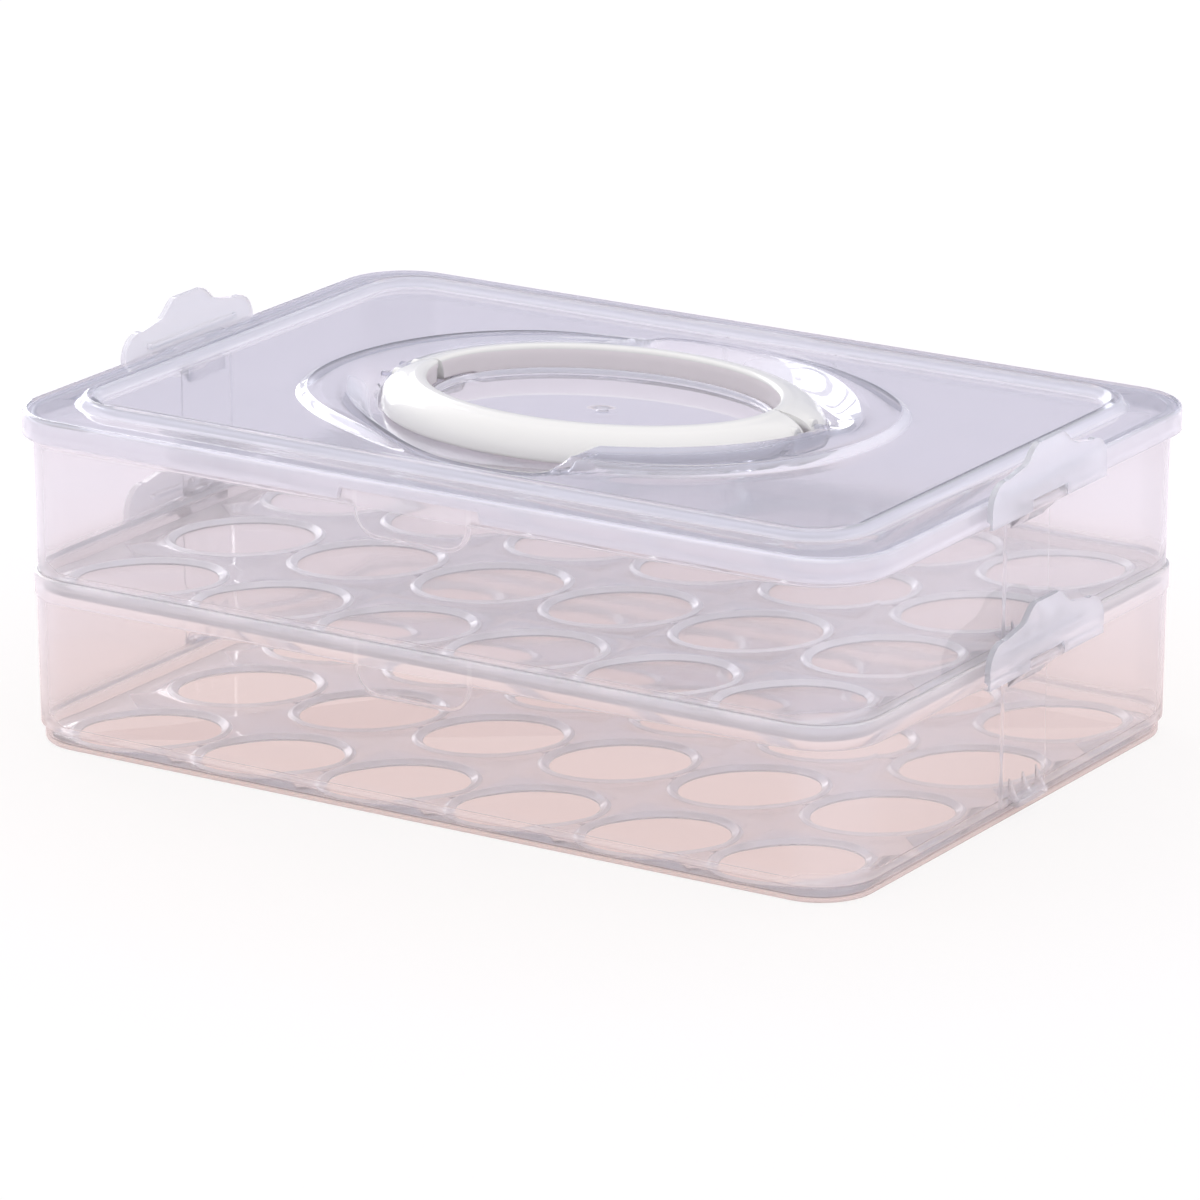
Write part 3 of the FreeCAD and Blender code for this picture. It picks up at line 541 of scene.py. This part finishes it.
def lidRings(s):
    # rings of points round the middle: out along the underside, down and up the skirt, and back in over the top
    endSteps = np.concatenate([np.arange(0, 16.2, 1.45), np.arange(16.4, 17.8, 0.45), np.arange(19, 104, 2.3)])
    sideSteps = np.concatenate([np.arange(0, 27.2, 1.9), np.arange(27.4, 28.8, 0.45), np.arange(30.2, 155, 2.3)])
    angles = quarterAngles(roundedQuarter(s["halfX"], s["halfY"], s["corner"], endSteps, 20, sideSteps))
    armStart = np.radians(np.arange(-76.0, -60.0, 0.4) + s["turn"])       # closer rays where an arm begins
    angles = np.sort(np.concatenate([angles, armStart + 2 * math.pi, armStart + math.pi]))
    angles = angles[np.concatenate([[True], np.diff(angles) > 0.0005])]
    turned = s["turn"]

    def rounded(inset):
        radius = np.where(inset < 8, s["corner"] - inset, s["ridgeCorner"] + s["ridgeInset"] - inset)
        radius = np.maximum(np.where((inset >= 1.8) & (inset < 14), 23.4, radius), 3.0)
        return reachRounded(angles, s["halfX"] - inset, s["halfY"] - inset, radius)

    ovalOut = reachOval(angles, s["ovalX"], s["ovalY"], turned)
    seat = reachOval(angles, s["seatX"], s["seatY"], turned)
    ring = reachOval(angles, s["ringX"], s["ringY"], turned)
    cup = reachOval(angles, s["cupX"], s["cupY"], turned)
    inner = rounded(np.array(23.4))
    local = angles - math.radians(turned)
    share = armShare(80 * np.cos(local), 80 * np.sin(local), s)
    here = np.degrees((local + math.pi) % (2 * math.pi) - math.pi)
    there = np.degrees(local % (2 * math.pi)) - 180.0
    here, there = np.where(here < -130, here + 360, here), np.where(there < -130, there + 360, there)
    first, second = swirlLines(here), swirlLines(there)
    crest, run, wellTop, wellFoot = [b + (a - b) * share for a, b in zip(first[:4], second[:4])]
    wellTop = np.minimum(wellTop, crest - 1.6)
    wellFoot = np.clip(wellFoot, seat + 1.6, wellTop - 1.6)

    def between(a, b, count):
        # reaches after a, up to and with b
        return [a + (b - a) * t for t in np.linspace(0, 1, count + 1)[1:]]

    def inward(fine):
        reaches = [rounded(np.array(i)) for i in np.linspace(2.2 if fine else 2.9, 13.4, 4 if fine else 3)]
        reaches += [rounded(np.array(i)) for i in np.linspace(13.9, 23.1, 15 if fine else 9)]
        reaches += [inner + (ovalOut - inner) * t for t in np.linspace(0, 1, 5 if fine else 3)]
        reaches += between(ovalOut, crest + run + 0.5, 2) + (between(crest + run, crest + 0.8, 5) if fine else between(crest + run, crest, 2))
        reaches += (between(crest + 0.8, crest - 0.8, 4) + between(crest - 0.8, wellTop + 0.6, 3) + between(wellTop + 0.6, wellTop - 0.6, 3)) if fine else between(crest, wellTop, 2)
        reaches += between(wellTop - 0.6 if fine else wellTop, wellFoot, 7 if fine else 4) + between(wellFoot, seat + 0.6, 4 if fine else 2)
        reaches += [seat + 0.3, seat, seat - 0.3] if fine else [seat]
        reaches += [seat - 0.62 + (ring + 0.6 - seat + 0.62) * t for t in np.linspace(0, 1, 10 if fine else 6)]
        reaches += [ring + 0.3, ring, ring - 0.3] if fine else [ring]
        reaches += [cup + 0.35, cup, cup - 0.35] if fine else [cup]
        reaches += [cup * t + 2.4 * (1 - t) for t in (0.985, 0.9, 0.6, 0.3, 0.1)]
        reaches += [0 * cup + r for r in (2.3, 2.05, 1.75)] if fine else [0 * cup + 2.0]
        return reaches

    def place(reach):
        return reach * np.cos(angles), reach * np.sin(angles)

    top = []
    for reach in inward(True):
        x, y = place(reach)
        z = lidTop(x, y, s) + 0.28 * ease((2.25 - reach) / 0.4)
        top.append(np.stack([x, y, z], -1))
    under = []
    for reach in inward(False):
        x, y = place(reach)
        z = lidTop(x, y, s)
        for dx, dy in ((1.3, 0), (-1.3, 0), (0, 1.3), (0, -1.3), (0.9, 0.9), (-0.9, 0.9), (0.9, -0.9), (-0.9, -0.9)):
            z = np.minimum(z, lidTop(x + dx, y + dy, s))
        z = z - s["sheet"]
        inset = awayFromRounded(x, y, s["halfX"], s["halfY"], s["corner"]) > -13.8
        under.append(np.stack([x, y, np.where(inset, s["under"], z)], -1))
    under = under[::-1]
    x, y = place(rounded(np.array(0.0)))
    raised = s["notchTall"] * ease(0.5 + (s["notchHalf"] - np.abs(x)) / 1.2) * (np.abs(y) > s["halfY"] - 5)
    raised = np.maximum(raised, (s["under"] - 0.25 - s["skirtLow"]) * ease(0.5 + (s["cutHalf"] - np.abs(y)) / 1.2) * (np.abs(x) > s["halfX"] - 5))
    low = s["skirtLow"] + raised

    def skirtRow(inset, z):
        x, y = place(rounded(np.array(inset)))
        return np.stack([x, y, z + 0 * x], -1)

    skirt = [skirtRow(s["skirt"] + 0.7, s["under"]), skirtRow(s["skirt"] + 0.1, s["under"] - 0.02)]
    skirt += [skirtRow(s["skirt"], s["under"] - 0.05 + (low + 0.25 - s["under"] + 0.05) * t) for t in (0.12, 0.5, 1.0)]
    skirt += [skirtRow(s["skirt"] - 0.15, low + 0.07), skirtRow(s["skirt"] - 0.35, low), skirtRow(0.35, low), skirtRow(0.08, low + 0.07)]
    rise = s["flange"] - s["edge"]
    skirt += [skirtRow(0.0, low + 0.25 + (rise - low - 0.25) * t) for t in (0.0, 0.5, 1.0)]
    turn = np.linspace(0, math.pi / 2, 6)[1:]
    skirt += [skirtRow(s["edge"] * (1 - math.cos(t)), rise + s["edge"] * math.sin(t)) for t in turn]
    # milkier where the surface leans, as plastic does that is seen along its wall, and along the skirt's lower lip
    rings = np.stack(under + skirt + top)
    along = np.roll(rings, -1, 1) - np.roll(rings, 1, 1)
    across = np.gradient(rings, axis=0)
    face = np.cross(along, across)
    lean = 1 - np.abs(face[..., 2]) / np.maximum(np.linalg.norm(face, axis=-1), 1e-9)
    milk = ease(lean / 0.22)
    milk[:len(under)] = 0.0
    milk[len(under):len(under) + len(skirt) - 5] = 0.15
    milk[len(under) + 5:len(under) + 10] = 0.8
    # the raised band beside the ring is made milkier to paint its pale highlight band
    band = ease((rings[..., 2] - 122.1) / 0.7) * (np.hypot(rings[..., 0], rings[..., 1]) < 104)
    milk = np.maximum(milk, 0.6 * band)              # and on the raised band beside the ring
    return rings, (0, len(under)), spread(milk), (len(under) + 1, len(under) + len(skirt) - 4)

rings, insideRows, milk, skirtRows = lidRings(lidShape)
lid = cappedLoops("lidShell", rings, "lid", [materials["clearLid"], materials["innerLid"]], insideRows, milk)
# the skirt's faces take the paler copy of the lid plastic: painted light on the skirt
lid.data.materials.append(materials["paleSkirt"])
finishIndex = np.zeros(len(lid.data.polygons), np.int32)
lid.data.polygons.foreach_get("material_index", finishIndex)
finishIndex[skirtRows[0] * rings.shape[1]:skirtRows[1] * rings.shape[1]] = 2
lid.data.polygons.foreach_set("material_index", finishIndex)
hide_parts("lid")
print("lid made:", rings.shape)

ringShape = {
    "innerX": 64.8, "innerY": 45.8, "width": 16.2, "top": 126.3, "turn": 3.0,
    "lowNear": 118.62, "lowFar": 115.25, "hingeZ": 120.2, "hingeY": 6.3,
    "split": 0.14, "endPull": 0.8, "hollow": 8.68, "barrel": 2.95, "pinRadius": 1.28, "bore": 1.35,
}

def ringProfile():
    # shares of width outwards and of height upwards: a broad swelling outer face that rises to a narrow rounded rim
    t = np.linspace(0, 1, 15)
    out = 1.0 - 0.68 * t**1.75
    up = 1.0 - (1.0 - t)**1.35
    face = list(zip(out, up * 0.93))
    rim = [(0.28, 0.972), (0.22, 0.994), (0.15, 1.0), (0.09, 0.99), (0.045, 0.955), (0.015, 0.90)]
    return np.array(face + rim), np.array([(0.0, u) for u in (0.0, 0.06, 0.3, 0.6, 0.84)])

def halfRing(name, s, side, body):
    # lines along the half oval, one for each profile point; each line ends where it meets the split,
    # which is hollowed to the path of the other half's nose
    face, wall = ringProfile()
    heel = np.array([(0.985, 0.012), (0.95, 0.0), (0.5, 0.0), (0.05, 0.0)])
    profile = np.concatenate([heel[::-1], face[:, :], wall[::-1]])
    profile[len(heel)] = (1.0, 0.03)
    out = profile[:, 0] * s["width"]
    top = s["lowNear"] + profile[:, 1] * (s["top"] - s["lowNear"])
    end = np.minimum(-s["split"], s["hingeY"] - np.sqrt(np.maximum(s["hollow"]**2 - (top - s["hingeZ"])**2, 0)))
    start = np.arcsin(np.clip(-end / (s["innerY"] + out), 0, 1))
    steps = np.linspace(0, 1, 141)
    steps = steps + 0.35 * np.sin(2 * math.pi * steps) / (2 * math.pi) * -1.0
    angle = start[:, None] + (math.pi - 2 * start[:, None]) * steps[None, :]
    u = (s["innerX"] + out[:, None]) * np.cos(angle)
    v = -(s["innerY"] + out[:, None]) * np.sin(angle)
    pull = s["endPull"] * (out[:, None] / s["width"]) * ease((9.0 - np.abs(v)) / 6.0)      # room for the ends to swing down
    u = u - np.sign(u) * pull
    drop = (s["lowNear"] - s["lowFar"]) * ease((np.abs(v) - 15.0) / 9.0)
    share = 1.0 - profile[:, 1][:, None]
    z = top[:, None] - drop * share**1.5
    t = math.radians(s["turn"])
    points = np.stack([u * math.cos(t) - v * math.sin(t), u * math.sin(t) + v * math.cos(t), z], -1)
    if side == "back":
        points = turnedRound(points)
    rows, columns = points.shape[:2]
    r = np.arange(rows)[:, None]
    k = np.arange(columns - 1)[None, :]
    nextR = (r + 1) % rows
    quads = np.stack([r * columns + k, r * columns + k + 1, nextR * columns + k + 1, nextR * columns + k], -1).reshape(-1, 4)
    first = (np.arange(rows) * columns)[None, :]
    last = (np.arange(rows) * columns + columns - 1)[None, ::-1]
    piece = meshPiece(name, points.reshape(-1, 3), [quads, first, last], body, materials["creamRing"])
    piece.data.materials.append(materials["shadedRing"])
    # the inner wall's faces take the darker copy: painted shade, not a different plastic
    shaded = np.zeros((rows, columns - 1), np.int32)
    shaded[len(profile) - len(wall):len(profile) - 1] = 1
    piece.data.polygons.foreach_set("material_index", np.concatenate([shaded.ravel(), [0, 0]]).astype(np.int32))
    return piece

def barAlongSplit(s, radius, low, high, y, count=24, turned=False):
    # a round bar along the ring's long middle line, turned with the ring
    angle = np.linspace(0, 2 * math.pi, count, endpoint=False)
    points, faces = prism(np.stack([y + radius * np.cos(angle), s["hingeZ"] + radius * np.sin(angle)], -1), low, high, "x")
    t = math.radians(s["turn"])
    u, v = points[:, 0].copy(), points[:, 1].copy()
    points[:, 0] = u * math.cos(t) - v * math.sin(t)
    points[:, 1] = u * math.sin(t) + v * math.cos(t)
    return (turnedRound(points) if turned else points), faces

for side in ("front", "back"):
    half = halfRing(side + "RingHalf", ringShape, side, side + "_handle_half")
    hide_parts(side + "_handle_half")
    knuckles = [barAlongSplit(ringShape, ringShape["barrel"], low, high, -ringShape["hingeY"], turned=side == "back") for low, high in ((65.2, 79.2), (-79.2, -65.2))]
    shellsPiece(side + "RingKnuckles", knuckles, side + "_handle_half", materials["creamRing"], 0.4)
pins = [barAlongSplit(ringShape, ringShape["pinRadius"], 66.4, 84.5, y, turned=turned) for y in (-ringShape["hingeY"], ringShape["hingeY"]) for turned in (False, True)]
shellsPiece("lidHingePins", pins, "lid", materials["clearLid"], 0.2)
print("ring halves, knuckles and pins made")

for name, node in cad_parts.items():
    chosen = materials["creamRing"] if "handle" in name else materials["milkyLatch"]
    node.data.materials.clear()
    node.data.materials.append(chosen)

roomLight = {
    "horizon": (0.80, 0.80, 0.89), "zenith": (1.3, 1.28, 1.3), "paleFrom": 0.3, "fullAt": 0.65,        # the sky that lights the object
    "wall": (0.46, 0.47, 0.58), "wallWay": (-0.51, 0.81, 0.295), "wallFrom": 0.85, "wallAll": 0.97,     # a dim wall behind, beside the window
    "plainShare": 0.86, "nearFloor": (0.83, 0.67, 0.63), "farFloor": (0.92, 0.86, 0.93), "nearAt": 0.15, "farAt": 0.38,
    "window": (-2.06, 1.24, 0.92), "paneWide": 0.26, "paneTall": 1.5, "paneStep": 0.35, "pane": 3.2,
}

def twoColours(nodes, links, first, second, share):
    # a mix of two colours, each a tuple or a socket
    mix = nodes.new("ShaderNodeMix")
    mix.data_type = "RGBA"
    for socket, colour in ((mix.inputs[6], first), (mix.inputs[7], second)):
        if isinstance(colour, tuple):
            socket.default_value = (*colour, 1.0)
        else:
            links.new(colour, socket)
    links.new(share, mix.inputs["Factor"])
    return mix.outputs[2]

def rampOf(nodes, links, value, low, high):
    # runs from 0 to 1 while the value goes from low to high
    ramp = nodes.new("ShaderNodeMapRange")
    ramp.interpolation_type = "SMOOTHSTEP"
    ramp.inputs["From Min"].default_value = low
    ramp.inputs["From Max"].default_value = high
    links.new(value, ramp.inputs["Value"])
    return ramp.outputs["Result"]

def makeFloor(s):
    # white to the camera, and to plastic and its light a warm floor that cools away from the object
    mesh = bpy.data.meshes.new("paleFloor")
    mesh.from_pydata([(-6, -6, 0), (6, -6, 0), (6, 6, 0), (-6, 6, 0)], [], [(0, 1, 2, 3)])
    floor = bpy.data.objects.new("paleFloor", mesh)
    bpy.context.scene.collection.objects.link(floor)
    material = bpy.data.materials.new("paleFloor")
    material.use_nodes = True
    nodes = material.node_tree.nodes
    links = material.node_tree.links
    shader = nodes["Principled BSDF"]
    shader.inputs["Roughness"].default_value = 0.9
    place = nodes.new("ShaderNodeTexCoord")
    away = nodes.new("ShaderNodeVectorMath")
    away.operation = "LENGTH"
    links.new(place.outputs["Object"], away.inputs[0])
    warm = twoColours(nodes, links, s["nearFloor"], s["farFloor"], rampOf(nodes, links, away.outputs["Value"], s["nearAt"], s["farAt"]))
    links.new(warm, shader.inputs["Base Color"])
    path = nodes.new("ShaderNodeLightPath")
    seen = nodes.new("ShaderNodeMath")
    seen.operation = "MAXIMUM"
    links.new(path.outputs["Is Camera Ray"], seen.inputs[0])
    links.new(path.outputs["Is Transmission Ray"], seen.inputs[1])
    share = nodes.new("ShaderNodeMath")
    share.operation = "MULTIPLY"
    share.inputs[1].default_value = s["plainShare"]
    links.new(seen.outputs[0], share.inputs[0])
    glow = nodes.new("ShaderNodeEmission")
    links.new(twoColours(nodes, links, warm, (1.0, 1.0, 1.0), path.outputs["Is Camera Ray"]), glow.inputs["Color"])
    both = nodes.new("ShaderNodeMixShader")
    links.new(share.outputs[0], both.inputs[0])
    links.new(shader.outputs[0], both.inputs[1])
    links.new(glow.outputs[0], both.inputs[2])
    links.new(both.outputs[0], nodes["Material Output"].inputs["Surface"])
    mesh.materials.append(material)

def makeSky(s):
    # white to the camera, and otherwise a soft sky that is paler overhead than at the horizon, with a dim wall on one side
    world = bpy.data.worlds.new("softSky")
    bpy.context.scene.world = world
    world.use_nodes = True
    nodes = world.node_tree.nodes
    links = world.node_tree.links
    place = nodes.new("ShaderNodeTexCoord")
    split = nodes.new("ShaderNodeSeparateXYZ")
    links.new(place.outputs["Generated"], split.inputs[0])
    sky = twoColours(nodes, links, s["horizon"], s["zenith"], rampOf(nodes, links, split.outputs["Z"], s["paleFrom"], s["fullAt"]))
    near = nodes.new("ShaderNodeVectorMath")
    near.operation = "DOT_PRODUCT"
    near.inputs[1].default_value = s["wallWay"]
    links.new(place.outputs["Generated"], near.inputs[0])
    room = twoColours(nodes, links, sky, s["wall"], rampOf(nodes, links, near.outputs["Value"], s["wallFrom"], s["wallAll"]))
    path = nodes.new("ShaderNodeLightPath")
    seen = twoColours(nodes, links, room, (1.0, 1.0, 1.0), path.outputs["Is Camera Ray"])
    links.new(seen, nodes["Background"].inputs["Color"])
    nodes["Background"].inputs["Strength"].default_value = 1.0

def makeWindow(s):
    # four tall panes side by side, turned towards the object
    aim = Vector((0, 0, 0.12))
    middle = Vector(s["window"])
    turn = (aim - middle).to_track_quat("-Z", "Y")
    across = turn @ Vector((1, 0, 0))
    for index in range(4):
        data = bpy.data.lights.new("windowPane%d" % index, "AREA")
        data.shape = "RECTANGLE"
        data.size = s["paneWide"]
        data.size_y = s["paneTall"]
        data.energy = s["pane"] * math.pi * s["paneWide"] * s["paneTall"]
        lamp = bpy.data.objects.new("windowPane%d" % index, data)
        lamp.location = middle + across * (index - 1.5) * s["paneStep"]
        lamp.rotation_euler = turn.to_euler()
        lamp.visible_camera = False
        bpy.context.scene.collection.objects.link(lamp)

makeFloor(roomLight)
makeSky(roomLight)
makeWindow(roomLight)
print("light made")
